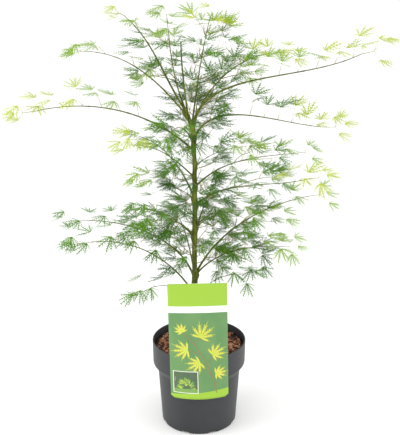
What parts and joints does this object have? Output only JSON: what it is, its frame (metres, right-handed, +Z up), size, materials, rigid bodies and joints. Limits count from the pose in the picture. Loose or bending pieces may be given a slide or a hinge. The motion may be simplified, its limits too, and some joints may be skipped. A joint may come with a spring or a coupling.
{
  "type": "potted japanese maple",
  "caption": "Young laceleaf maple with a slim trunk, arching boughs and tiers of finely cut leaves, in a round nursery pot with a plain plant card hung on its rim.",
  "frame": {"origin": "centre of the pot's flat underside, where it stands on the floor", "axes": "+Z up along the trunk; -Y is the front, the side that the plant card hangs on; +X is to the right seen from the front"},
  "size_m": [0.7463, 0.4653, 0.849],
  "materials": {
    "pot_plastic": "satin moulded dark grey",
    "bark_compost": "moist bark compost",
    "card": "printed plastic card",
    "bark": "smooth green-brown young bark",
    "leaves": "soft matte foliage"
  },
  "bodies": {
    "root": {"bough_arch_right": "bark", "bough_back_high": "bark", "bough_back_low": "bark", "bough_back_mid": "bark", "bough_back_right": "bark", "bough_front_high": "bark", "bough_front_left": "bark", "bough_front_right": "bark", "bough_leader": "bark", "bough_long_left": "bark", "bough_long_right": "bark", "bough_low_left": "bark", "bough_low_right": "bark", "bough_lowest_left": "bark", "bough_mid_left": "bark", "bough_mid_right": "bark", "bough_rising_right": "bark", "bough_snag": "bark", "bough_sprig_left": "bark", "bough_sprig_right": "bark", "bough_steep_right": "bark", "bough_tier_right": "bark", "bough_top_left": "bark", "bough_top_right": "bark", "bough_upper_left": "bark", "foliage_arch_right": "leaves", "foliage_back_high": "leaves", "foliage_back_low": "leaves", "foliage_back_mid": "leaves", "foliage_back_right": "leaves", "foliage_front_high": "leaves", "foliage_front_left": "leaves", "foliage_front_right": "leaves", "foliage_leader": "leaves", "foliage_long_left": "leaves", "foliage_long_right": "leaves", "foliage_low_left": "leaves", "foliage_low_right": "leaves", "foliage_lowest_left": "leaves", "foliage_mid_left": "leaves", "foliage_mid_right": "leaves", "foliage_rising_right": "leaves", "foliage_sprig_left": "leaves", "foliage_sprig_right": "leaves", "foliage_steep_right": "leaves", "foliage_tier_right": "leaves", "foliage_top_left": "leaves", "foliage_top_right": "leaves", "foliage_tuft_left": "leaves", "foliage_tuft_low_left": "leaves", "foliage_tuft_low_right": "leaves", "foliage_tuft_right": "leaves", "foliage_upper_left": "leaves", "plant_card": "card", "pot": "pot_plastic", "soil": "bark_compost", "trunk": "bark"}
  },
  "joints": []
}
